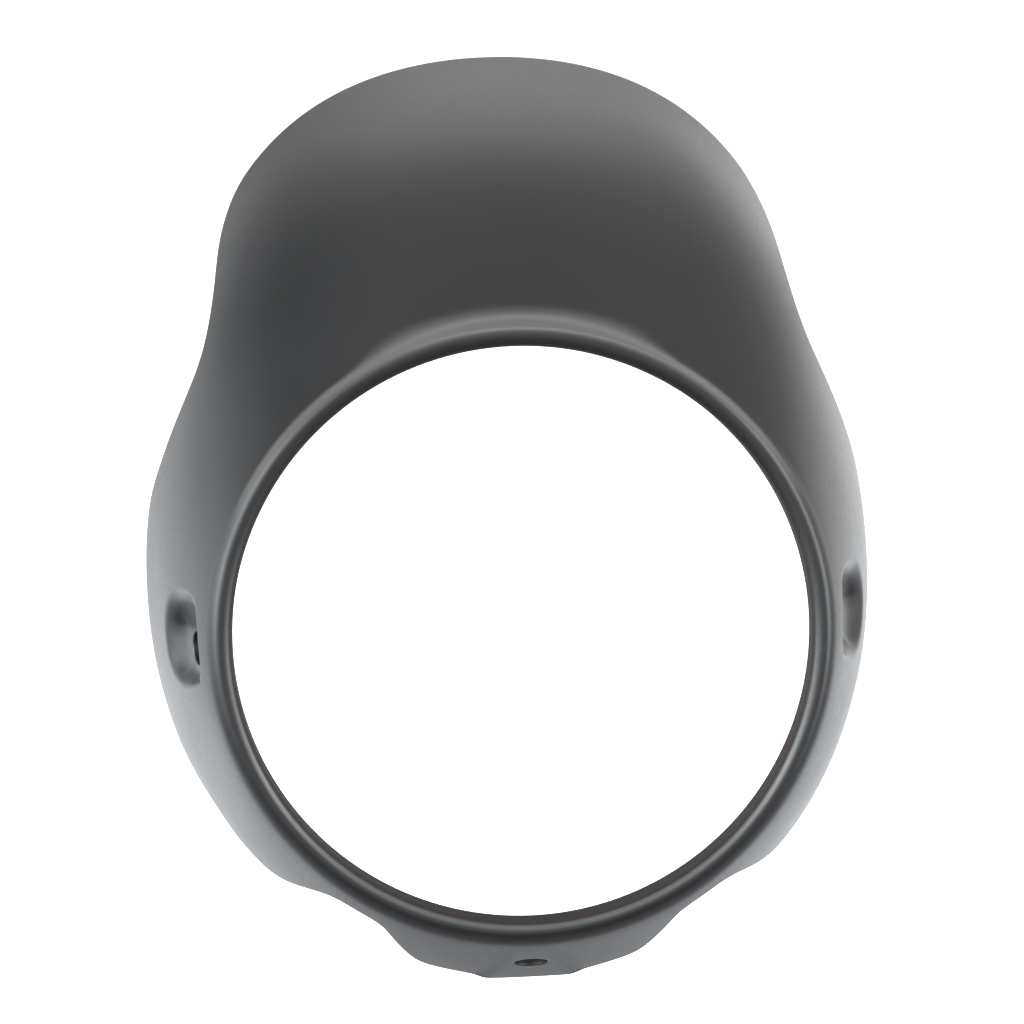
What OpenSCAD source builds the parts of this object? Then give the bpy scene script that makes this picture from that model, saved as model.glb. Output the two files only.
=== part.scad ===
// Headlight cowl: one moulded shell that wraps a round motorbike headlamp.
// Frame: X to the right seen from the front, -Y forwards, Z up.
// Origin: centre of the lamp opening, where its straight land begins.

/* [Lamp opening] */
// Diameter of the round lamp opening
opening_d = 170; // [164:1:176]
// Length of the straight land inside the opening
land_l = 8; // [6:0.5:9]
// Radius of the rolled bead round the opening
bead_r = 3; // [2.6:0.1:3.4]
// Width of the rim, from the opening to where the shell starts
rim_w = 6.9; // [6.6:0.1:7.2]
// Depth of the collar over the opening, in front of the visor
collar = 5.5; // [4:0.5:7]

/* [Shell] */
// Wall thickness
wall = 3; // [2.6:0.1:3.4]
// Rise of the visor above the bead
visor_rise = 73; // [68:1:80]
// Depth of the visor's rear edge behind the bead
visor_depth = 116; // [110:1:122]
// Flare of the side wings beyond the bead
wing_flare = 24.4; // [23:0.1:27]
// Depth of the side wings behind the bead
wing_depth = 88; // [84:1:94]
// Drop of the chin below the bead, for each 100 of depth
chin_drop = 47.5; // [45:0.5:50]
// Depth of the chin's rear edge behind the bead
chin_depth = 45.5; // [42:0.5:50]

/* [Bolt holes] */
// Diameter of the three bolt holes
bolt_d = 10; // [6:0.5:11]
// Depth of the chin bolt behind the bead
chin_bolt_y = 24; // [23:0.5:28]
// Depth of the side bolts behind the bead
side_bolt_y = 24; // [22:0.5:25]
// Height of the side bolts, and of their pockets
side_bolt_z = -3; // [-6:0.5:0]

/* [Side pockets] */
// Length of a pocket from front to back
pocket_l = 36; // [33:0.5:38]
// Height of a pocket
pocket_h = 28; // [24:0.5:30]
// Step from the opening's side out to the pocket floor at its bolt
pocket_step = 11; // [10.5:0.5:11.5]
// Angle of the pocket floor, opening to the rear
pocket_tilt = 20; // [19:0.5:21]
// Angle by which a pocket drops to the rear
pocket_droop = 6.5; // [4:0.5:8]

/* [Hidden] */

R = opening_d / 2;
bead_c = R + bead_r;            // radius of the bead's centre line
root = R + rim_w;               // radius where the shell leaves the rim
edge_round = 0.8;               // rounding of the rear edge
pocket_x = R + pocket_step;     // from the middle plane to the pocket floor at its bolt
pocket_front = 17.5;            // from a side bolt to the front of its pocket
pocket_up = 3;                  // how far a pocket's middle is above its bolt
pocket_r = 13;                  // corner radius of a pocket
pocket_back = 2.15;             // how far a pocket's back reaches into the shell
boss_h = 5.2;                   // thickness of the floor round a side bolt

// Angles round the opening: 0 is straight up, 90 the side, 180 the chin.
// How far the shell spreads beyond the bead over 100 of depth.
spread = [[0, visor_rise], [20, 0.954 * visor_rise], [40, 0.705 * visor_rise],
          [60, 0.443 * visor_rise], [80, wing_flare], [100, 0.93 * wing_flare],
          [120, 1.03 * wing_flare], [140, 0.69 * chin_drop],
          [160, 0.925 * chin_drop], [180, chin_drop]];
// Share of that spread which is straight; the rest bends away early.
straight = [[0, 0.45], [40, 0.4], [80, 0.3], [120, 0.4], [150, 0.85], [180, 1]];
// How quickly the bent share bends.
bend = [[0, 3.6], [40, 2.8], [80, 2.2], [120, 2.2], [150, 2], [180, 2]];
// Depth of the rear edge: visor, fork cut-out, wing, notch, chin.
edge = [[0, visor_depth], [18, visor_depth], [30, visor_depth - 2],
        [36, visor_depth - 19], [40, 72], [45, 57], [50, 53], [55, 56],
        [60, 62], [66, 71], [72, wing_depth - 5], [80, wing_depth],
        [90, wing_depth - 2], [100, wing_depth - 6], [110, wing_depth - 14],
        [120, 56], [130, 52], [136, 45], [141, 18], [146, 12], [152, 13],
        [158, 30], [163, chin_depth - 2.5], [168, chin_depth - 2.5],
        [173, chin_depth - 0.5], [180, chin_depth]];

// Angles at which the shell has a rib of points, for one half.
half_ribs = concat([for (a = [0 : 4 : 28]) a], [for (a = [31 : 3 : 58]) a],
                   [for (a = [61 : 4 : 129]) a], [for (a = [131.5 : 2.5 : 164]) a],
                   [for (a = [167 : 3.25 : 180]) a]);
ribs = concat(half_ribs, [for (i = [len(half_ribs) - 2 : -1 : 1]) 360 - half_ribs[i]]);

// Places along the depth of the outer and the inner skin, 0 front, 1 rear.
out_t = [0, 0.03, 0.07, 0.12, 0.18, 0.25, 0.33, 0.42, 0.53, 0.67, 0.83, 1];
in_t = [0, 0.07, 0.16, 0.26, 0.38, 0.52, 0.67, 0.83, 1];

// ---- smooth curve through a table, level where it turns ----
function sgn_min(a, b) = a * b <= 0 ? 0 : sign(a) * min(abs(a), abs(b));
function tab(t, i) = i < 0 ? [-t[-i][0], t[-i][1]]
    : i >= len(t) ? [360 - t[2 * len(t) - 2 - i][0], t[2 * len(t) - 2 - i][1]] : t[i];
function rise(t, i) = (tab(t, i + 1)[1] - tab(t, i)[1]) / (tab(t, i + 1)[0] - tab(t, i)[0]);
function slope(t, i) = let (h0 = tab(t, i)[0] - tab(t, i - 1)[0],
    h1 = tab(t, i + 1)[0] - tab(t, i)[0], d0 = rise(t, i - 1), d1 = rise(t, i))
    d0 * d1 <= 0 ? 0 : sgn_min((d0 * h1 + d1 * h0) / (h0 + h1), 3 * sgn_min(d0, d1));
function seg(t, x, i = 0) = i >= len(t) - 2 || x < t[i + 1][0] ? i : seg(t, x, i + 1);
function curve(t, x) = let (i = seg(t, x), h = t[i + 1][0] - t[i][0], u = (x - t[i][0]) / h,
    v = 1 - u) (1 + 2 * u) * v * v * t[i][1] + u * v * v * h * slope(t, i)
    + u * u * (3 - 2 * u) * t[i + 1][1] - u * u * v * h * slope(t, i + 1);
// the same curve, softened over about h to each side
function fold(x) = abs(x) > 180 ? 360 - abs(x) : abs(x);
function soft(t, x, h) = (curve(t, fold(x - 2 * h)) + 4 * curve(t, fold(x - h))
    + 6 * curve(t, x) + 4 * curve(t, fold(x + h)) + curve(t, fold(x + 2 * h))) / 16;

function ease(x, lo, hi) = let (t = min(max((x - lo) / (hi - lo), 0), 1)) t * t * (3 - 2 * t);

// ---- shell radius at depth y; k = [spread, straight, bend, start depth, start radius] ----
function shell_k(b) = [soft(spread, b, 5), soft(straight, b, 5), soft(bend, b, 5),
    collar * (1 - ease(b, 0, 50)), root - 0.5 * (1 - ease(b, 25, 75))];
function shell_r(y, k) = let (d = max(y - k[3], 0) / (100 - k[3]), q = min(d, 1))
    k[4] + k[0] * ((1 - k[1]) * (1 - pow(1 - q, k[2])) + k[1] * d)
    + 0.3 * (1 - exp(-max(y - k[3], 0) / 3));
function shell_n(y, k) = let (d = (shell_r(y + 0.05, k) - shell_r(y - 0.05, k)) / 0.1,
    l = sqrt(1 + d * d)) [1 / l, -d / l];
// flat under the chin, wider to the rear, blended into the round shell
function flat_k(a, y) = let (d = abs(180 - a))
    1 + ease(3.5 + 5.7 * (y - 3) / 42 - d, 0, 3.3) * (1 / cos(min(d, 12)) - 1);

// ---- one rib: [radius, depth] points from the land, over the bead, along
// the outer skin, round the rear edge and back along the inner skin, with
// the groove behind the bead filled near the pockets ----
function rib(a) = let (b = a > 180 ? 360 - a : a,
    k = shell_k(b), ye = soft(edge, b, 1.2), y2 = 2.6 + k[3],
    top = 1 - ease(b, 25, 75),
    rc = bead_c + 0.4 + 0.4 * cos(b), ro = 2.7 - 0.9 * top, ae = 45 + 25 * top,
    p1 = [rc + ro * sin(ae), ro * (1 - cos(ae)) - bead_r], t1 = (1 + 0.6 * top) * [cos(ae), sin(ae)],
    n2 = shell_n(y2, k), p2 = [shell_r(y2, k), y2], t2 = [-n2[1], n2[0]],
    m = norm(p2 - p1), near = ease(b, 70, 77) * (1 - ease(b, 105, 112)), ne = shell_n(ye, k), te = [-ne[1], ne[0]],
    e = [shell_r(ye, k), ye], er = edge_round)
    [for (p = concat(
        [[R - 1, land_l], [R - 1, -0.3]],
        [for (w = [-58, -29, 0]) [rc + (rc - R) * sin(w), -bead_r * cos(w)]],
        [for (w = [ae / 3, 2 * ae / 3, ae])
            [rc + ro * sin(w), ro * (1 - cos(w)) - bead_r]],
        [for (u = [0.2, 0.4, 0.6, 0.8]) let (v = 1 - u)
            (1 + 2 * u) * v * v * p1 + u * v * v * m * t1
            + u * u * (3 - 2 * u) * p2 - u * u * v * m * t2],
        [for (t = out_t) t == 1 ? e - er * te
            : let (y = y2 + (ye - y2) * t) [shell_r(y, k), y]],
        [e - 0.3 * er * (te + ne), e - er * ne,
         e - (wall - er) * ne, e - 0.3 * er * te - (wall - 0.3 * er) * ne],
        [for (i = [len(in_t) - 1 : -1 : 0]) in_t[i] == 1 ? e - wall * ne - er * te
            : let (y = max(y2 + (ye - y2) * in_t[i], (land_l - 1.8) * near))
                [shell_r(y, k), y] - wall * shell_n(y, k)],
        [[bead_c + 0.9, 2.2 + (land_l - 3.2) * near],
         [R + wall, 3 + (land_l - 3.7) * near], [R + wall, land_l]]))
        [p[0] * (p[1] > 3 && p[0] > R + wall ? flat_k(b, p[1]) : 1), p[1]]];

// ---- the shell's skin as one closed surface ----
module shell() {
    s = [for (a = ribs) [for (p = rib(a)) [p[0] * sin(a), p[1], p[0] * cos(a)]]];
    n = len(s);
    m = len(s[0]);
    polyhedron(points = [for (r = s) each r],
        faces = [for (i = [0 : n - 1], j = [0 : m - 1]) let (i2 = (i + 1) % n,
            j2 = (j + 1) % m, a = i * m + j, b = i * m + j2, c = i2 * m + j2, d = i2 * m + j)
            each [[a, b, c], [a, c, d]]], convexity = 10);
}

// ---- side pockets ----
// sets its child on the pocket floor of one side, with the bolt at its origin,
// X towards the rear along the floor and Z out of the floor
module at_pocket(side) {
    mirror([side < 0 ? 1 : 0, 0, 0])
        translate([pocket_x, side_bolt_y, side_bolt_z])
            rotate([90, 0, 90 - pocket_tilt]) rotate([0, 0, -pocket_droop]) children();
}
// block with round upright edges, from z0 to z1, grown by g at its sides
module slab(g, z0, z1) {
    l = pocket_l / cos(pocket_tilt);
    r = pocket_r + g;
    translate([-pocket_front / cos(pocket_tilt) - g, pocket_up - pocket_h / 2 - g, z0]) {
        for (x = [r, l + 2 * g - r], y = [r, pocket_h + 2 * g - r])
            translate([x, y, 0]) cylinder(h = z1 - z0, r = r, $fn = 40);
        translate([r, 0, 0]) cube([l + 2 * g - 2 * r, pocket_h + 2 * g, z1 - z0]);
        translate([0, r, 0]) cube([l + 2 * g, pocket_h + 2 * g - 2 * r, z1 - z0]);
    }
}

// a bolt hole along Z through the origin
module hole(l) {
    translate([0, 0, -l]) cylinder(h = 2 * l, r = bolt_d / 2, $fn = 48);
}

chin_tilt = atan(chin_drop / 100);
chin_z = -(root + 0.3 + chin_drop * chin_bolt_y / 100);

module cowl() {
    color([0.13, 0.13, 0.14])
    difference() {
        union() {
            shell();
            // the back of each pocket, and the boss round its bolt
            for (s = [-1, 1]) at_pocket(s) {
                slab(wall, -wall, pocket_back);
                translate([0, 0, -boss_h]) cylinder(h = boss_h - 1, r = 9, $fn = 48);
            }
        }
        // the straight land that the lamp's rim passes through
        translate([0, -6, 0]) rotate([-90, 0, 0])
            cylinder(h = land_l + 12, r = R, $fn = 180);
        // chin bolt
        translate([0, chin_bolt_y, chin_z]) rotate([-chin_tilt, 0, 0]) hole(8);
        // side pockets and their bolts
        for (s = [-1, 1]) at_pocket(s) {
            slab(0, 0, 20);
            hole(8);
        }
    }
}

cowl();
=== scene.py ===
"""Looks of the headlight cowl: one satin black moulded shell on the CAD frame."""

import math

import bpy
import numpy as np
from mathutils import Matrix, Vector


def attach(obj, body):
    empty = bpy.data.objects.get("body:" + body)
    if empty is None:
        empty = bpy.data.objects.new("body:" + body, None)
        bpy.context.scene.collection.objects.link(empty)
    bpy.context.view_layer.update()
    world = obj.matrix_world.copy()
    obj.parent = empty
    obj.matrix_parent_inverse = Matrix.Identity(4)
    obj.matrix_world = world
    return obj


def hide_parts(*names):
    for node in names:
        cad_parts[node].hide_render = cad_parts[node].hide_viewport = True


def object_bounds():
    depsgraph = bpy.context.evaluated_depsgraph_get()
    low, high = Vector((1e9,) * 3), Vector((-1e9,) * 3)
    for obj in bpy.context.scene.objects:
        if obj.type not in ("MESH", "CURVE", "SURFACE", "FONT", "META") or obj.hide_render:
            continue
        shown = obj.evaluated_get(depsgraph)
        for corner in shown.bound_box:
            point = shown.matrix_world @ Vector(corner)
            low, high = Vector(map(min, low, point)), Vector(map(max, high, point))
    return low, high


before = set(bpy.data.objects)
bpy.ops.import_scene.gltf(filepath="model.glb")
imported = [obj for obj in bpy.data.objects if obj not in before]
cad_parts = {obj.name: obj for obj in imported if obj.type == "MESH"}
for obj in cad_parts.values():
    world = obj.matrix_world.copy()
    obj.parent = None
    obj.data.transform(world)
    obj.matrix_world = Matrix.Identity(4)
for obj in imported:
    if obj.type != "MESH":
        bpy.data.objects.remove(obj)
cad_box = [[float(v) for v in corner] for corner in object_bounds()]

# ---------------------------------------------------------------- dimensions
# Millimetres, in the CAD frame: X right, -Y forwards, Z up, origin at the
# centre of the lamp opening. Angles round the opening run from 0 at the top
# over 90 at the side to 180 at the chin.
R = 85.0                     # lamp opening
LAND = 8.0                   # straight land inside the opening
BEAD = 3.0                   # radius of the rolled bead
WALL = 3.0
BEAD_C = R + BEAD
ROOT = R + 6.9               # radius where the shell leaves the rim
COLLAR = 5.5                 # depth of the collar in front of the visor
RISE, FLARE, DROP = 73.0, 24.4, 47.5
VISOR_Y, WING_Y, CHIN_Y = 116.0, 88.0, 45.5
BOLT = 5.0                   # radius of the bolt holes
CHIN_BOLT_Y = 24.0
PX, PY, PZ, TILT = 96.0, 24.0, -3.0, math.radians(20.0)   # pocket floor at its bolt
P_FRONT, P_LEN, P_HIGH, P_CORNER = 17.5, 36.0, 28.0, 13.0
P_UP = 3.0                   # a pocket's middle above its bolt
DROOP = math.radians(6.5)    # how far a pocket drops to the rear
BOSS = 5.2                   # thickness of a pocket's floor round its bolt

SPREAD = [(0, RISE), (20, 0.954 * RISE), (40, 0.705 * RISE), (60, 0.443 * RISE),
          (80, FLARE), (100, 0.93 * FLARE), (120, 1.03 * FLARE),
          (140, 0.69 * DROP), (160, 0.925 * DROP), (180, DROP)]
STRAIGHT = [(0, 0.45), (40, 0.4), (80, 0.3), (120, 0.4), (150, 0.85), (180, 1)]
BEND = [(0, 3.6), (40, 2.8), (80, 2.2), (120, 2.2), (150, 2), (180, 2)]
EDGE = [(0, VISOR_Y), (18, VISOR_Y), (30, VISOR_Y - 2), (36, VISOR_Y - 19),
        (40, 72), (45, 57), (50, 53), (55, 56), (60, 62), (66, 71),
        (72, WING_Y - 5), (80, WING_Y), (90, WING_Y - 2), (100, WING_Y - 6),
        (110, WING_Y - 14), (120, 56), (130, 52), (136, 45), (141, 18),
        (146, 12), (152, 13), (158, 30), (163, CHIN_Y - 2.5),
        (168, CHIN_Y - 2.5), (173, CHIN_Y - 0.5), (180, CHIN_Y)]


# ------------------------------------------------------------ shell equations
def curve(table, x):
    """Smooth curve through a table, level where it turns, even about 0 and 180."""
    t = np.array(table, float)
    xs = np.r_[-t[1, 0], t[:, 0], 360 - t[-2, 0]]
    ys = np.r_[t[1, 1], t[:, 1], t[-2, 1]]
    h = np.diff(xs)
    d = np.diff(ys) / h
    h0, h1, d0, d1 = h[:-1], h[1:], d[:-1], d[1:]

    def least(a, b):
        return np.where(a * b <= 0, 0, np.sign(a) * np.minimum(abs(a), abs(b)))
    m = np.where(d0 * d1 <= 0, 0, least((d0 * h1 + d1 * h0) / (h0 + h1), 3 * least(d0, d1)))
    x = np.asarray(x, float)
    i = np.clip(np.searchsorted(t[:, 0], x, side="right") - 1, 0, len(t) - 2)
    w = t[i + 1, 0] - t[i, 0]
    u = (x - t[i, 0]) / w
    v = 1 - u
    return ((1 + 2 * u) * v * v * t[i, 1] + u * v * v * w * m[i]
            + u * u * (3 - 2 * u) * t[i + 1, 1] - u * u * v * w * m[i + 1])


def fold(a):
    a = np.abs(a)
    return np.where(a > 180, 360 - a, a)


def soft(table, a, h):
    return sum(w * curve(table, fold(a + k * h))
               for k, w in zip((-2, -1, 0, 1, 2), (1, 4, 6, 4, 1))) / 16


def smooth(x, lo, hi):
    t = np.clip((x - lo) / (hi - lo), 0, 1)
    return t * t * (3 - 2 * t)


def shell_k(a):
    """Shape numbers of the shell at angle a, in degrees: spread, straight, bend,
    and the depth and radius at which it starts."""
    b = fold(np.asarray(a, float) % 360)
    return ([soft(t, b, 5.0) for t in (SPREAD, STRAIGHT, BEND)]
            + [COLLAR * (1 - smooth(b, 0, 50)), ROOT - 0.5 * (1 - smooth(b, 25, 75))])


def edge_y(a):
    return soft(EDGE, fold(np.asarray(a, float) % 360), 1.2)


def shell_r(y, k):
    d = np.maximum(y - k[3], 0)
    t = d / (100 - k[3])
    return (k[4] + k[0] * ((1 - k[1]) * (1 - (1 - np.minimum(t, 1)) ** k[2]) + k[1] * t)
            + 0.3 * (1 - np.exp(-d / 3)))


def shell_n(y, k):
    d = (shell_r(y + 0.05, k) - shell_r(y - 0.05, k)) / 0.1
    n = np.sqrt(1 + d * d)
    return 1 / n, -d / n


def flat_k(a, y):
    """Flat under the chin, wider to the rear, blended into the round shell."""
    d = np.abs(180 - np.asarray(a, float) % 360)
    b = smooth(3.5 + 5.7 * (y - 3) / 42 - d, 0, 3.3)
    return 1 + b * (1 / np.cos(np.radians(np.minimum(d, 12))) - 1)


def smin(a, b, k):
    """Lesser of the two, rounded over k, and exact away from the meeting line."""
    h = np.maximum(k - np.abs(a - b), 0) / k
    return np.minimum(a, b) - h * h * h * k / 6


def smax(a, b, k):
    return -smin(-a, -b, k)


# ------------------------------------------------------------------- columns
def columns():
    """Column angles for one half, denser at the pocket, the notch and the chin."""
    stops = [(0, 1.25), (30, 1.1), (36, 0.8), (56, 0.8), (64, 1.1), (78, 0.9),
             (81, 0.42), (102, 0.42), (105, 0.9), (126, 1.1), (132, 0.6),
             (164, 0.6), (170, 0.62), (180, 0.62)]
    a = np.linspace(0, 180, 20001)
    dens = 1 / np.interp(a, [s[0] for s in stops], [s[1] for s in stops])
    total = np.r_[0, np.cumsum((dens[1:] + dens[:-1]) / 2 * np.diff(a))]
    n = int(round(total[-1]))
    half = np.interp(np.linspace(0, total[-1], n + 1), total, a)
    return np.r_[half, 360 - half[-2:0:-1]]


COL = columns()
N = len(COL)
SIDE = np.where(COL <= 180, 1.0, -1.0)


def rows_out():
    """Shares of the depth from behind the bead to the rear edge, on an 86 wing."""
    y = np.r_[np.arange(2.6, 9, 0.4), np.arange(9, 44, 1.1), np.arange(44, 56, 0.9),
              np.linspace(56, 86, 20)]
    return (y - 2.6) / (86 - 2.6)


def rows_in():
    y = np.r_[np.arange(2.6, 12, 0.9), np.arange(12, 56, 1.6), np.linspace(56, 86, 13)]
    return (y - 2.6) / (86 - 2.6)


def place(share):
    """Angle and depth of each (column, row) on the shell's reference skin.
    Round the pockets the rows keep their depth and the columns their height."""
    a = COL[:, None] * np.ones_like(share)[None, :]
    half = fold(a)
    fixed = 2.6 + 83.4 * share[None, :]
    first = 2.6 + COLLAR * (1 - smooth(half, 0, 50))
    near = smooth(half, 66, 78) * (1 - smooth(half, 104, 114))
    th = a.copy()
    y = None
    for _ in range(4):
        ye = edge_y(th)
        plain = first + (ye - first) * share[None, :]
        level = fixed + (ye - 86) * smooth(fixed, 54, 86)
        y = plain * (1 - near) + level * near
        w = smooth(half, 62, 74) * (1 - smooth(half, 106, 118)) * (1 - smooth(y, 56, 84))
        r = shell_r(y, shell_k(th))
        z = (1 - w) * r * np.cos(np.radians(a)) + w * 102.0 * np.cos(np.radians(a))
        t = np.degrees(np.arccos(np.clip(z / r, -1, 1)))
        inside = w > 1e-9
        th = np.where(inside, np.where(SIDE[:, None] > 0, t, 360 - t), a)
    return th, y


# ------------------------------------------------------------------- pockets
def along(y, z):
    """Place in the floor plane from its bolt: back along the pocket, and up it."""
    u, v = (y - PY) / math.cos(TILT), z - PZ
    return (u * math.cos(DROOP) - v * math.sin(DROOP),
            u * math.sin(DROOP) + v * math.cos(DROOP))


def outline(y, z):
    """Signed distance to a pocket's outline in its floor plane, positive outside."""
    u, v = along(y, z)
    half_l = P_LEN / math.cos(TILT) / 2
    u = u - (half_l - P_FRONT / math.cos(TILT))
    qx = np.abs(u) - (half_l - P_CORNER)
    qy = np.abs(v - P_UP) - (P_HIGH / 2 - P_CORNER)
    return (np.hypot(np.maximum(qx, 0), np.maximum(qy, 0))
            + np.minimum(np.maximum(qx, qy), 0) - P_CORNER)


def floor_x(y):
    return PX + math.tan(TILT) * (y - PY)


def pocket_out(x, y, z):
    """Outer skin with the pocket sunk into it: crisp lip in front, and a round
    bowl that rises from the flat round its bolt to the top, bottom and rear."""
    u, v = along(y, z)
    du = np.where(u > 0, u / 20.6, u / 27.0)
    dv = np.where(v > 0, v / (P_UP + P_HIGH / 2 + 0.6), v / (P_UP - P_HIGH / 2 - 0.6))
    rho = (np.abs(du) ** 2.3 + np.abs(dv) ** 2.3) ** (1 / 2.3)
    rise = np.maximum(rho - 0.42, 0) / 0.58
    front = np.maximum(-u - P_FRONT / math.cos(TILT) + 2.6 + 5 * ((v - P_UP) / 14) ** 4, 0)
    wall = floor_x(y) + 4.9 * rise * rise + 1.1 * front * front
    rear = smooth(u, -12, 4)
    k = 0.8 * (1 - rear) + 2.4 * rear
    return smin(x, wall, k)


def pocket_in(x, y, z):
    """Inner skin with the pocket's back standing out of it, and a boss on it."""
    sd = outline(y, z) - WALL * 0.8
    u, v = along(y, z)
    back = floor_x(y) - WALL / math.cos(TILT)
    wall = back + 2.2 * np.maximum(smax(sd + 0.3, 0 * sd, 2.0), 0)
    boss = (BOSS - WALL) / math.cos(TILT) * (1 - smooth(np.hypot(u, v), 8.6, 10.4))
    return np.maximum(smin(x, wall, 1.8) - boss, np.minimum(x, BEAD_C + 0.9) - boss)


# ------------------------------------------------------------- bolt holes
def to_round(u, v, half_u, half_v, radius, reach):
    """Moves points round a rectangle so that it turns into a circle."""
    rho = np.maximum(np.abs(u) / half_u, np.abs(v) / half_v)
    ang = np.arctan2(v / half_v, u / half_u)
    # even spread of the rectangle's rim over the circle
    ru, rv = np.cos(ang) * radius * rho, np.sin(ang) * radius * rho
    w = 1 - smooth(rho, 1.0, reach)
    w = np.where(rho <= 1.0, 1.0, w)
    return u + (ru - u) * w, v + (rv - v) * w


verts, faces = [], []


def add(points):
    """Adds an array of points, and returns their indices in the same shape."""
    p = np.asarray(points, float)
    start = sum(len(v) for v in verts)
    verts.append(p.reshape(-1, 3))
    return start + np.arange(p[..., 0].size).reshape(p.shape[:-1])


def quads(a, b):
    """Joins two equal closed loops of indices with quads."""
    for i in range(len(a)):
        j = (i + 1) % len(a)
        faces.append((a[i], a[j], b[j], b[i]))


def xyz(th, r, y):
    t = np.radians(th)
    return np.stack([r * np.sin(t), y + 0 * r, r * np.cos(t)], -1)


# outer skin
th_o, y_o = place(rows_out())
r_o = shell_r(y_o, shell_k(th_o)) * flat_k(th_o, y_o)
P_o = xyz(th_o, r_o, y_o)

# inner skin: the outer one moved in by the wall, along the normal in its rib
th_i, y_i = place(rows_in())
k_i = shell_k(th_i)
n_r, n_y = shell_n(y_i, k_i)
r_i = (shell_r(y_i, k_i) - WALL * n_r) * flat_k(th_i, y_i)
P_i = xyz(th_i, r_i, y_i - WALL * n_y)

in_pocket = (fold(COL) > 60) & (fold(COL) < 120)
for P, dent in ((P_o, pocket_out), (P_i, pocket_in)):
    x = np.abs(P[in_pocket, :, 0])
    P[in_pocket, :, 0] = dent(x, P[in_pocket, :, 1], P[in_pocket, :, 2]) * SIDE[in_pocket, None]

HOLE_R = BOLT + 0.45
cos_t, sin_t = math.cos(TILT), math.sin(TILT)
rim_loops = []      # (outer loop, inner loop, centre, axis, side direction)
skip = {"o": set(), "i": set()}


def chin_point(u, v, inner):
    """Point of the chin pad from its place along the pad, u across and v back."""
    k = shell_k(np.array(180.0))
    n_r0, n_y0 = shell_n(np.array(CHIN_BOLT_Y), k)
    y = CHIN_BOLT_Y + v * float(n_r0)
    for _ in range(3):
        a = 180 - np.degrees(np.arctan2(u, shell_r(y, k)))
        kk = shell_k(a)
    nr, ny = shell_n(y, kk)
    r = shell_r(y, kk) - (WALL * nr if inner else 0)
    yy = y - (WALL * ny if inner else 0)
    return xyz(a, r * flat_k(a, y), yy)


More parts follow.
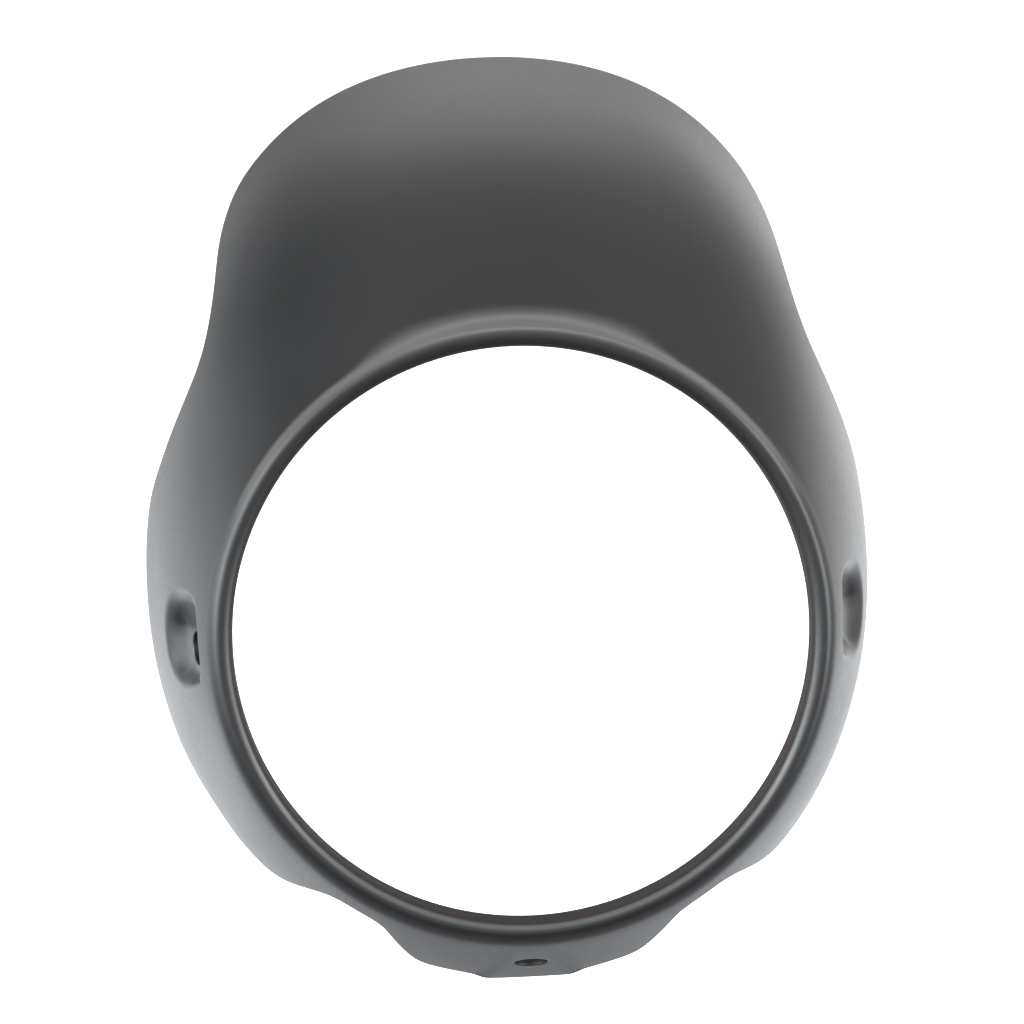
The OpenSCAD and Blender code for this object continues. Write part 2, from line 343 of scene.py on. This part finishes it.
def cut_holes(P, key, inner):
    loops = []
    n_col, n_row = P.shape[:2]
    k180 = shell_k(np.array(180.0))
    nr0, ny0 = [float(v) for v in shell_n(np.array(CHIN_BOLT_Y), k180)]
    r0 = float(shell_r(np.array(CHIN_BOLT_Y), k180))
    for side in (1, -1, 0):
        off = (BOSS if side else WALL) if inner else 0.0
        if side:
            n = np.array([cos_t, -sin_t, 0.0])
            c = np.array([PX, PY, PZ]) - off * n
            U, V = np.array([sin_t, cos_t, 0.0]), np.array([0.0, 0.0, 1.0])
            q = P * np.array([side, 1, 1])
            zone = np.abs(q[..., 0] - c[0]) < 12
            zone &= (fold(COL) > 70)[:, None] & (fold(COL) < 112)[:, None] & (SIDE == side)[:, None]
        else:
            n = np.array([0.0, ny0, -nr0])
            c = np.array([0.0, CHIN_BOLT_Y, -r0]) - off * n
            U, V = np.array([1.0, 0.0, 0.0]), np.array([0.0, nr0, ny0])
            q = P
            zone = (fold(COL) > 165)[:, None] & (P[..., 1] > 0)
        d = q - c
        u, v = d @ U, d @ V
        half = 4.75
        box = zone & (np.abs(u) < 14) & (np.abs(v) < 14) & (np.abs(d @ n) < (5 if side else 1.5))
        if inner and side:
            box = zone & (np.abs(u) < 13) & (np.abs(v) < 13) & (np.abs(d @ n) < 1.5)
        # the block of whole cells whose rim is nearest to the square
        mid_c = int(np.argmin(np.where(zone.any(1), np.abs(
            np.where(zone, np.hypot(u, v), 1e9)).min(1), 1e9)))
        mid_r = int(np.argmin(np.where(zone[mid_c], np.abs(u[mid_c] if side else v[mid_c]), 1e9)))
        line_c = v[:, mid_r] if side else u[:, mid_r]
        line_r = u[mid_c] if side else v[mid_c]
        ok_c = zone[:, mid_r] & (np.abs(line_c) < 9)
        ok_r = zone[mid_c] & (np.abs(line_r) < 9)
        ci = np.where(ok_c)[0]
        ri = np.where(ok_r)[0]
        lo_c = ci[np.argmin(np.abs(line_c[ci] - (-half if line_c[ci[-1]] > line_c[ci[0]] else half)))]
        hi_c = ci[np.argmin(np.abs(line_c[ci] - (half if line_c[ci[-1]] > line_c[ci[0]] else -half)))]
        lo_r = ri[np.argmin(np.abs(line_r[ri] + half))]
        hi_r = ri[np.argmin(np.abs(line_r[ri] - half))]
        hc = (abs(line_c[lo_c]) + abs(line_c[hi_c])) / 2
        hr = (abs(line_r[lo_r]) + abs(line_r[hi_r])) / 2
        sc = (line_c[lo_c] + line_c[hi_c]) / 2
        sr = (line_r[lo_r] + line_r[hi_r]) / 2
        hu, hv, su, sv = (hr, hc, sr, sc) if side else (hc, hr, sc, sr)
        # slide the block onto the hole's centre, then round it
        fade = 1 - smooth(np.maximum(np.abs(u - su) / hu, np.abs(v - sv) / hv), 1.0, 2.0)
        u1, v1 = u - su * fade, v - sv * fade
        u2, v2 = to_round(u1, v1, hu, hv, HOLE_R, 2.1)
        # the rim itself goes exactly onto the circle
        rim = [(i, lo_r) for i in range(lo_c, hi_c)] + [(hi_c, j) for j in range(lo_r, hi_r)] \
            + [(i, hi_r) for i in range(hi_c, lo_c, -1)] + [(lo_c, j) for j in range(hi_r, lo_r, -1)]
        change = box & (np.hypot(u2 - u, v2 - v) > 1e-9)
        for i, j in zip(*np.where(change)):
            if side:
                p = c + u2[i, j] * U + v2[i, j] * V + (d[i, j] @ n) * n
                P[i, j] = p * np.array([side, 1, 1])
            else:
                P[i, j] = chin_point(u2[i, j], v2[i, j], inner)
        for i, j in rim:
            d1 = np.array([u2[i, j], v2[i, j]])
            d1 *= HOLE_R / np.hypot(*d1)
            if side:
                p = (c + d1[0] * U + d1[1] * V) * np.array([side, 1, 1])
            else:
                p = chin_point(d1[0], d1[1], inner)
            P[i, j] = p
        for i in range(lo_c, hi_c):
            for j in range(lo_r, hi_r):
                skip[key].add((i, j))
        flip = np.array([side, 1, 1]) if side else np.array([1, 1, 1])
        loops.append((rim, c * flip, n * flip, U * flip, V * flip))
    return loops


loops_o = cut_holes(P_o, "o", False)
loops_i = cut_holes(P_i, "i", True)

# ------------------------------------------------- front: land, bead, fillet
th_f = th_o[:, 0]
half_f = fold(th_f)
k_f = shell_k(th_f)
top = 1 - smooth(half_f, 25, 75)
rc = BEAD_C + 0.4 + 0.4 * np.cos(np.radians(half_f))   # radius of the rim's crest
ro = 2.7 - 0.9 * top
ae = np.radians(45 + 25 * top)
front = []                                           # rows of (r, y), from the land on
corner = 0.6
for y in (LAND - corner, 6.0, 4.4, 2.8, 1.3, 0.4):
    front.append((np.full(N, R), np.full(N, y)))
for w in np.linspace(-math.pi / 2, 0, 10):
    front.append((rc + (rc - R) * np.sin(w), -BEAD * np.cos(w)))
for i in range(1, 8):
    w = ae * i / 7
    front.append((rc + ro * np.sin(w), ro * (1 - np.cos(w)) - BEAD))
p1 = front[-1]
y2 = 2.6 + k_f[3]
n2 = shell_n(y2, k_f)
p2 = (shell_r(y2, k_f), y2)
m = np.hypot(p2[0] - p1[0], p2[1] - p1[1])
g1 = 1 + 0.6 * top
t1, t2 = (g1 * np.cos(ae), g1 * np.sin(ae)), (-n2[1], n2[0])
FILLET = 13
for u in np.linspace(0, 1, FILLET + 2)[1:-1]:
    v = 1 - u
    front.append(tuple((1 + 2 * u) * v * v * p1[c] + u * v * v * m * t1[c]
                       + u * u * (3 - 2 * u) * p2[c] - u * u * v * m * t2[c] for c in (0, 1)))
P_f = np.stack([xyz(th_f, r * np.where((y > 3) & (r > R + WALL), flat_k(th_f, y), 1), y)
                for r, y in front], 1)
# the fillet's rows near the pocket are lowered with it
x = np.abs(P_f[in_pocket][:, -FILLET:, 0])
P_f[np.ix_(in_pocket, range(P_f.shape[1] - FILLET, P_f.shape[1]), [0])] = (
    pocket_out(x, P_f[in_pocket][:, -FILLET:, 1], P_f[in_pocket][:, -FILLET:, 2])
    * SIDE[in_pocket, None])[..., None]

# ------------------------------------------------------ rear edge, rounded
th_e = th_o[:, -1]
ye = edge_y(th_e)
k_e = shell_k(th_e)
ner, ney = shell_n(ye, k_e)
ter, tey = -ney, ner
er, ey = shell_r(ye, k_e), ye
rows_e = []
rnd = 0.8
P_o[:, -1] = xyz(th_e, (er - rnd * ter) * flat_k(th_e, ey), ey - rnd * tey)
for s in np.linspace(0, math.pi / 2, 6)[1:]:
    a, b = rnd * (1 - math.sin(s)), rnd * (1 - math.cos(s))
    rows_e.append((er - a * ter - b * ner, ey - a * tey - b * ney))
rows_e.append((er - WALL / 2 * ner, ey - WALL / 2 * ney))
for s in np.linspace(math.pi / 2, 0, 6)[:-1]:
    a, b = rnd * (1 - math.sin(s)), rnd * (1 - math.cos(s))
    rows_e.append((er - a * ter - (WALL - b) * ner, ey - a * tey - (WALL - b) * ney))
P_e = np.stack([xyz(th_e, r * flat_k(th_e, ey), y) for r, y in rows_e], 1)
P_i[:, -1] = xyz(th_e, (er - rnd * ter - WALL * ner) * flat_k(th_e, ey), ey - rnd * tey - WALL * ney)

# ------------------------------ behind the bead: groove and back of the land
th_b = th_i[:, 0]
a_b = (1 - smooth(fold(th_b), 78, 84) * (1 - smooth(fold(th_b), 98, 104)))
back = []
g = P_i[:, 0]
g_r = np.hypot(g[:, 0], g[:, 2])
deep = 2.6 * a_b + 6.7 * (1 - a_b)                  # depth of the groove's bottom
start = deep + 0.55 * a_b + 0.2 * (1 - a_b)
bulge = 1 - smooth(shell_k(th_b)[3], 0.0, 2.0)       # none behind the collar
for t in (0.25, 0.5, 0.75, 1.0):
    s = math.pi / 2 * t
    a1 = (1 - math.cos(s)) * bulge + t * (1 - bulge)
    b1 = math.sin(s) * bulge + t * (1 - bulge)
    back.append((g_r - (g_r - (BEAD_C + 0.45)) * a1, g[:, 1] - (g[:, 1] - deep) * b1))
back.append((np.full(N, BEAD_C + 0.12), deep + 0.15))
back.append((np.full(N, BEAD_C), start))
for s in (0.4, 0.75):
    back.append((np.full(N, BEAD_C), start + (LAND - corner - start) * s))
for s in np.linspace(0, math.pi / 2, 4):
    back.append((np.full(N, BEAD_C - corner * (1 - math.cos(s))), np.full(N, LAND - corner + corner * math.sin(s))))
for s in np.linspace(math.pi / 2, 0, 4):
    back.append((np.full(N, R + corner * (1 - math.cos(s))), np.full(N, LAND - corner + corner * math.sin(s))))
back = back[:-1]
P_b = np.stack([xyz(th_b, r, y) for r, y in back], 1)

# ------------------------------------------------------------- put together
I_f, I_o, I_e, I_i, I_b = add(P_f), add(P_o), add(P_e), add(P_i), add(P_b)
strip = np.concatenate([I_f, I_o, I_e, I_i[:, ::-1], I_b], 1)
n_f, n_o, n_e, n_i = I_f.shape[1], I_o.shape[1], I_e.shape[1], I_i.shape[1]
rows = strip.shape[1]
skip_rows = set()
for i, j in skip["o"]:
    skip_rows.add((i, n_f + j))
for i, j in skip["i"]:
    skip_rows.add((i, n_f + n_o + n_e + (n_i - 1 - j) - 1))
for i in range(N):
    i2 = (i + 1) % N
    for j in range(rows):
        if (i, j) in skip_rows:
            continue
        j2 = (j + 1) % rows
        faces.append((strip[i, j], strip[i, j2], strip[i2, j2], strip[i2, j]))

# bolt holes: a small round at each rim, then the bore's wall
for (rim_o, c_o, n_h, U, V), (rim_i, c_i, _, _, _) in zip(loops_o, loops_i):
    ends = []
    for rim, P, I, c, sign in ((rim_o, P_o, I_o, c_o, -1), (rim_i, P_i, I_i, c_i, 1)):
        pts = np.array([P[i, j] for i, j in rim])
        loop = [I[i, j] for i, j in rim]
        d = pts - c
        ang = np.arctan2(d @ V, d @ U)
        if np.sum(np.diff(np.unwrap(ang))) < 0:
            loop, ang, pts = loop[::-1], ang[::-1], pts[::-1]
        lift = (pts - c) @ n_h
        for s in np.linspace(0, math.pi / 2, 5)[1:]:
            rad = HOLE_R - 0.45 * math.sin(s)
            ring = (c + np.outer(np.cos(ang) * rad, U) + np.outer(np.sin(ang) * rad, V)
                    + np.outer(lift * (1 - math.sin(s)) + sign * 0.45 * (1 - math.cos(s)), n_h))
            new = add(ring)
            if sign < 0:
                quads(loop, list(new))
            else:
                quads(list(new), loop)
            loop = list(new)
        ends.append((loop, np.mod(ang, 2 * math.pi)))
    (la, aa), (lb, ab) = ends
    sa, sb = int(np.argmin(aa)), int(np.argmin(ab))
    la, aa = la[sa:] + la[:sa], np.r_[aa[sa:], aa[:sa]]
    lb, ab = lb[sb:] + lb[:sb], np.r_[ab[sb:], ab[:sb]]
    la, lb = la + [la[0]], lb + [lb[0]]
    aa, ab = np.r_[aa, aa[0] + 2 * math.pi], np.r_[ab, ab[0] + 2 * math.pi]
    i = j = 0
    while i < len(la) - 1 or j < len(lb) - 1:
        if j == len(lb) - 1 or (i < len(la) - 1 and aa[i + 1] <= ab[j + 1]):
            faces.append((la[i], la[i + 1], lb[j]))
            i += 1
        else:
            faces.append((la[i], lb[j + 1], lb[j]))
            j += 1

points = np.concatenate(verts) / 1000.0
lo, hi = np.array(cad_box[0]), np.array(cad_box[1])
points = np.clip(points, lo, hi)

used = np.zeros(len(points), bool)
for f in faces:
    used[list(f)] = True
new_index = np.cumsum(used) - 1
mesh = bpy.data.meshes.new("cowl_shell")
mesh.from_pydata(points[used].tolist(), [], [[int(new_index[v]) for v in f] for f in faces])
mesh.update()
import bmesh
bm = bmesh.new()
bm.from_mesh(mesh)
bmesh.ops.recalc_face_normals(bm, faces=bm.faces)
print("cowl mesh: verts %d faces %d open edges %d bad edges %d volume %.1f cm3" % (
    len(bm.verts), len(bm.faces), sum(e.is_boundary for e in bm.edges),
    sum(not e.is_manifold for e in bm.edges), bm.calc_volume(signed=True) * 1e6))
for f in bm.faces:
    f.smooth = True
bm.to_mesh(mesh)
bm.free()
cowl = bpy.data.objects.new("cowl_shell", mesh)
bpy.context.scene.collection.objects.link(cowl)


# ------------------------------------------------------------------ material
def plastic():
    mat = bpy.data.materials.new("satin_black_plastic")
    mat.use_nodes = True
    nt = mat.node_tree
    nt.nodes.clear()
    node, link = nt.nodes.new, nt.links.new
    out = node("ShaderNodeOutputMaterial")
    bsdf = node("ShaderNodeBsdfPrincipled")
    link(bsdf.outputs["BSDF"], out.inputs["Surface"])
    bsdf.inputs["IOR"].default_value = 1.5
    coord = node("ShaderNodeTexCoord")

    def noise(scale, detail, rough=0.5):
        t = node("ShaderNodeTexNoise")
        t.inputs["Scale"].default_value = scale
        t.inputs["Detail"].default_value = detail
        t.inputs["Roughness"].default_value = rough
        link(coord.outputs["Object"], t.inputs["Vector"])
        return t

    def span(src, a, b, lo, hi):
        r = node("ShaderNodeMapRange")
        for name, val in (("From Min", a), ("From Max", b), ("To Min", lo), ("To Max", hi)):
            r.inputs[name].default_value = val
        link(src, r.inputs["Value"])
        return r.outputs["Result"]

    def calc(op, *args):
        m = node("ShaderNodeMath")
        m.operation = op
        for i, v in enumerate(args):
            if isinstance(v, (int, float)):
                m.inputs[i].default_value = v
            else:
                link(v, m.inputs[i])
        return m.outputs[0]

    def ease(src, a, b, lo=0.0, hi=1.0):
        r = node("ShaderNodeMapRange")
        r.interpolation_type = "SMOOTHSTEP"
        for name, val in (("From Min", a), ("From Max", b), ("To Min", lo), ("To Max", hi)):
            if isinstance(val, (int, float)):
                r.inputs[name].default_value = val
            else:
                link(val, r.inputs[name])
        link(src, r.inputs["Value"])
        return r.outputs["Result"]

    def blend(fac, a, b):
        """From a to b by fac; each a colour or a socket."""
        m = node("ShaderNodeMix")
        m.data_type = "RGBA"
        link(fac, m.inputs["Factor"])
        for i, v in ((6, a), (7, b)):
            if isinstance(v, tuple):
                m.inputs[i].default_value = v
            else:
                link(v, m.inputs[i])
        return m.outputs[2]

    # where on the moulding: distance from the opening's axis, depth and height
    sep = node("ShaderNodeSeparateXYZ")
    link(coord.outputs["Object"], sep.inputs[0])
    px, py, pz = sep.outputs
    ring = calc("SQRT", calc("ADD", calc("MULTIPLY", px, px), calc("MULTIPLY", pz, pz)))
    # the trimmed land inside the opening: dull, and dark brown-grey as a painted reflection of a warm surround
    land = calc("MULTIPLY", ease(ring, 0.0860, 0.0854), ease(py, -0.0020, -0.0010))
    # the collar over the opening: a painted highlight, lighter colour and more shine in a band along its top
    far = calc("ADD", 0.0926, ease(pz, 0.077, 0.092, 0.0, 0.0050))
    painted_highlight = calc("MULTIPLY", calc("MULTIPLY", ease(ring, 0.0886, 0.0908), ease(ring, far, 0.0912)),
               calc("MULTIPLY", ease(pz, 0.028, 0.060), ease(py, 0.016, 0.009)))

    # the lower half of the bead's inside gets a painted highlight too
    inside = calc("MULTIPLY", calc("MULTIPLY", ease(ring, 0.0854, 0.0862), ease(ring, 0.0877, 0.0866)),
                  calc("MULTIPLY", ease(pz, -0.015, -0.050), ease(py, 0.001, -0.0005)))
    painted_highlight = calc("MAXIMUM", painted_highlight, calc("MULTIPLY", inside, 0.72))
    # painted shade: the upper part of each pocket is made dull where its hollow lies in shadow; painted highlight:
    # its lower floor is made shinier
    oval = calc("ADD", calc("POWER", calc("MULTIPLY", calc("ADD", py, -0.0245), 60.0), 2.0),
                calc("POWER", calc("MULTIPLY", calc("ADD", pz, -0.0005), 78.0), 2.0))
    in_pocket_ = calc("MULTIPLY", ease(oval, 1.05, 0.5), ease(calc("ABSOLUTE", px), 0.080, 0.085))
    painted_recess_shade = calc("MULTIPLY", in_pocket_, calc("MAXIMUM", ease(pz, -0.0005, 0.0040),
                                             ease(pz, -0.0080, -0.0120, 0.0, 0.6)))
    painted_floor_highlight = calc("MULTIPLY", in_pocket_, calc("MULTIPLY", ease(pz, 0.0005, -0.0025), ease(pz, -0.0115, -0.0085)))

    # colour: near black, slightly lighter and cooler in slow drifts
    drift = noise(14, 2)
    ramp = node("ShaderNodeValToRGB")
    ramp.color_ramp.elements[0].position = 0.3
    ramp.color_ramp.elements[0].color = (0.0085, 0.0088, 0.0094, 1)
    ramp.color_ramp.elements[1].position = 0.7
    ramp.color_ramp.elements[1].color = (0.0115, 0.0118, 0.0126, 1)
    link(drift.outputs["Fac"], ramp.inputs["Fac"])
    # dust: sparse tiny light specks, and a few fine short scuffs
    cells = node("ShaderNodeTexVoronoi")
    cells.inputs["Scale"].default_value = 210
    link(coord.outputs["Object"], cells.inputs["Vector"])
    pick = node("ShaderNodeSeparateColor")
    link(cells.outputs["Color"], pick.inputs[0])
    speck = calc("MULTIPLY", ease(cells.outputs["Distance"], 0.075, 0.045),
                 calc("GREATER_THAN", pick.outputs[0], 0.955))
    stretch = node("ShaderNodeMapping")
    stretch.inputs["Rotation"].default_value = (0.4, 0.7, 0.5)
    stretch.inputs["Scale"].default_value = (60, 900, 900)
    link(coord.outputs["Object"], stretch.inputs["Vector"])
    lines = node("ShaderNodeTexNoise")
    lines.inputs["Scale"].default_value = 1.0
    lines.inputs["Detail"].default_value = 1.0
    link(stretch.outputs[0], lines.inputs["Vector"])
    scuff = calc("MULTIPLY", ease(lines.outputs["Fac"], 0.74, 0.80),
                 ease(noise(16, 1).outputs["Fac"], 0.56, 0.64))
    marks = calc("MAXIMUM", calc("MULTIPLY", speck, 0.55), calc("MULTIPLY", scuff, 0.35))
    # painted reflection: the land's dull brown-grey colour
    colour = blend(land, ramp.outputs["Color"], (0.050, 0.043, 0.040, 1))
    # painted highlight: the collar band and the bead's lower inside turn lighter
    colour = blend(painted_highlight, colour, (0.085, 0.083, 0.081, 1))
    colour = blend(marks, colour, (0.09, 0.09, 0.09, 1))
    link(colour, bsdf.inputs["Base Color"])
    # less shine on the land, more on the painted highlights of the collar and bead; painted shade dulls the pocket
    # tops and a painted highlight brightens their floors
    shine = calc("MULTIPLY", ease(painted_highlight, 0.0, 1.0, 0.5, 0.95), ease(land, 0.0, 1.0, 1.0, 0.04))
    shine = calc("MULTIPLY", shine, ease(painted_recess_shade, 0.0, 1.0, 1.0, 0.12))
    shine = calc("ADD", shine, calc("MULTIPLY", painted_floor_highlight, 0.3))
    link(shine, bsdf.inputs["Specular IOR Level"])

    # sheen of the moulding: broad changes and a fine mottle
    broad = noise(22, 3)
    fine = noise(900, 2)
    sheen = calc("ADD", span(broad.outputs["Fac"], 0.3, 0.7, 0.31, 0.35),
                 span(fine.outputs["Fac"], 0.3, 0.7, -0.02, 0.03))
    sheen = calc("ADD", sheen, calc("MULTIPLY", land, 0.35))
    link(calc("ADD", sheen, calc("MULTIPLY", marks, 0.25)), bsdf.inputs["Roughness"])

    # grain
    grain = noise(2600, 2, 0.6)
    bump = node("ShaderNodeBump")
    bump.inputs["Strength"].default_value = 0.10
    bump.inputs["Distance"].default_value = 0.0002
    link(grain.outputs["Fac"], bump.inputs["Height"])
    link(bump.outputs["Normal"], bsdf.inputs["Normal"])
    return mat


cowl.data.materials.append(plastic())
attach(cowl, "root")
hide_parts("cowl")


# --------------------------------------------------------------------- stage
def lobe_dir(azimuth, elevation):
    a, e = math.radians(azimuth), math.radians(elevation)
    return (math.sin(a) * math.cos(e), math.cos(a) * math.cos(e), math.sin(e))


# soft lights as smooth lobes. Round: azimuth (0 behind the cowl, 90 to its
# right), elevation, tightness, strength, colour.
ROUND = [(0, 2, 14, 0.84, (1, 1, 1)), (35, 6, 12, 1.37, (1, 1, 1)),
         (0, -21, 18, 1.82, (0.95, 1.0, 1.05)), (-35, -20, 18, 1.6, (0.97, 1.0, 1.03)),
         (35, -20, 18, 0.98, (0.95, 1.0, 1.05)),
         (0, 60, 8, 1.61, (1, 1, 1)), (60, 50, 8, 0.48, (1, 1, 1)),
         (180, 60, 6, 0.62, (1.04, 1.0, 0.96)), (-130, 50, 8, 0.45, (0.97, 1.0, 1.03)),
         (130, 50, 8, 0.35, (1, 1, 1)), (180, -35, 5, 0.15, (1, 1, 1)),
         (-90, -40, 5, 0.26, (0.95, 1.0, 1.05)), (90, -40, 5, 0.35, (0.97, 1.0, 1.03)),
         (0, -65, 4, 0.13, (1, 1, 1))]
# Oval: azimuth, elevation, tightness across and up, strength, colour.
OVAL = [(-117.1, 6.0, 2.6, 12.5, 9.6, (0.96, 1.0, 1.03)),
        (116.4, 2.1, 5.83, 8.5, 7.65, (0.98, 1.0, 1.01))]


def glow_nodes(nt, unit, base):
    """Adds up the lobes for a unit direction; returns the colour's socket."""
    node, link = nt.nodes.new, nt.links.new

    def math_(op, *args):
        m = node("ShaderNodeMath")
        m.operation = op
        for i, v in enumerate(args):
            if isinstance(v, (int, float)):
                m.inputs[i].default_value = v
            else:
                link(v, m.inputs[i])
        return m.outputs[0]

    def along_(direction):
        d = node("ShaderNodeVectorMath")
        d.operation = "DOT_PRODUCT"
        link(unit, d.inputs[0])
        d.inputs[1].default_value = direction
        return d.outputs["Value"]

    def tinted(amount, strength, tint):
        sc = node("ShaderNodeVectorMath")
        sc.operation = "SCALE"
        sc.inputs[0].default_value = [strength * c for c in tint]
        link(amount, sc.inputs["Scale"])
        return sc.outputs[0]

    parts = []
    for az, el, tight, strength, tint in ROUND:
        d = along_(lobe_dir(az, el))
        parts.append(tinted(math_("EXPONENT", math_("MULTIPLY_ADD", d, tight, -tight)), strength, tint))
    for az, el, across, up, strength, tint in OVAL:
        c = Vector(lobe_dir(az, el))
        rt = Vector(lobe_dir(az + 90, 0))
        u = rt.cross(c)
        d, x, z = along_(c), along_(rt), along_(u)
        e = math_("EXPONENT", math_("MULTIPLY_ADD", math_("MULTIPLY", x, x), -across,
                                    math_("MULTIPLY", math_("MULTIPLY", z, z), -up)))
        parts.append(tinted(math_("MULTIPLY", e, math_("GREATER_THAN", d, 0.0)), strength, tint))
    total = None
    for q in parts:
        plus = node("ShaderNodeVectorMath")
        plus.operation = "ADD"
        if total is None:
            plus.inputs[0].default_value = (base, base, base)
        else:
            link(total, plus.inputs[0])
        link(q, plus.inputs[1])
        total = plus.outputs[0]
    return total


def stage_material(name, shade, glow):
    mat = bpy.data.materials.new(name)
    mat.use_nodes = True
    nt = mat.node_tree
    node, link = nt.nodes.new, nt.links.new
    b = nt.nodes["Principled BSDF"]
    b.inputs["Base Color"].default_value = (shade, shade, shade, 1)
    b.inputs["Roughness"].default_value = 0.9
    b.inputs["Specular IOR Level"].default_value = 0.1
    b.inputs["Emission Strength"].default_value = 1.0
    coord = node("ShaderNodeTexCoord")
    unit = node("ShaderNodeVectorMath")
    unit.operation = "NORMALIZE"
    link(coord.outputs["Object"], unit.inputs[0])
    link(glow_nodes(nt, unit.outputs["Vector"], glow), b.inputs["Emission Color"])
    mat.cycles.emission_sampling = "NONE"
    return mat


def sweep():
    """Seamless pale floor that rises into a back wall."""
    floor_z, wall_y, bend_r = -0.42, 1.9, 0.8
    prof = [(-3.2, floor_z), (-1.5, floor_z), (-0.6, floor_z), (0.2, floor_z)]
    for i in range(13):
        a = math.pi / 2 * i / 12
        prof.append((wall_y - bend_r + bend_r * math.sin(a), floor_z + bend_r - bend_r * math.cos(a)))
    prof += [(wall_y, 1.6), (wall_y, 2.6)]
    me = bpy.data.meshes.new("studio_floor")
    vs = [(x, y, z) for y, z in prof for x in (-3.4, 3.4)]
    me.from_pydata(vs, [], [(2 * i, 2 * i + 1, 2 * i + 3, 2 * i + 2) for i in range(len(prof) - 1)])
    for p in me.polygons:
        p.use_smooth = True
    o = bpy.data.objects.new("studio_floor", me)
    bpy.context.scene.collection.objects.link(o)
    me.materials.append(stage_material("studio_white", 0.02, 0.06))


sweep()


world = bpy.data.worlds.new("studio")
world.use_nodes = True
wt = world.node_tree
w_coord = wt.nodes.new("ShaderNodeTexCoord")
w_unit = wt.nodes.new("ShaderNodeVectorMath")
w_unit.operation = "NORMALIZE"
wt.links.new(w_coord.outputs["Generated"], w_unit.inputs[0])
wt.links.new(glow_nodes(wt, w_unit.outputs["Vector"], 0.08), wt.nodes["Background"].inputs["Color"])
wt.nodes["Background"].inputs["Strength"].default_value = 1.0
world.cycles.sampling_method = "NONE"
bpy.context.scene.world = world
bpy.context.scene.view_settings.view_transform = "Standard"

# -------------------------------------------------------------------- camera
YAW, PITCH, ROLL = math.radians(2.582), math.radians(6.749), math.radians(2.070)
back_v = Vector((-math.sin(YAW) * math.cos(PITCH), -math.cos(YAW) * math.cos(PITCH), math.sin(PITCH)))
right_v = Vector((math.cos(YAW), -math.sin(YAW), 0))
up_v = right_v.cross(-back_v)
right_r = right_v * math.cos(ROLL) - up_v * math.sin(ROLL)
up_r = right_v * math.sin(ROLL) + up_v * math.cos(ROLL)
target = Vector((-0.001975, 0, 0.036754))
cam_data = bpy.data.cameras.new("camera")
cam_data.sensor_width = 36
cam_data.lens = 36 * 3434.16 / 1024
cam = bpy.data.objects.new("camera", cam_data)
cam.matrix_world = Matrix.Translation(target + back_v) @ Matrix((right_r, up_r, back_v)).transposed().to_4x4()
bpy.context.scene.collection.objects.link(cam)
bpy.context.scene.camera = cam
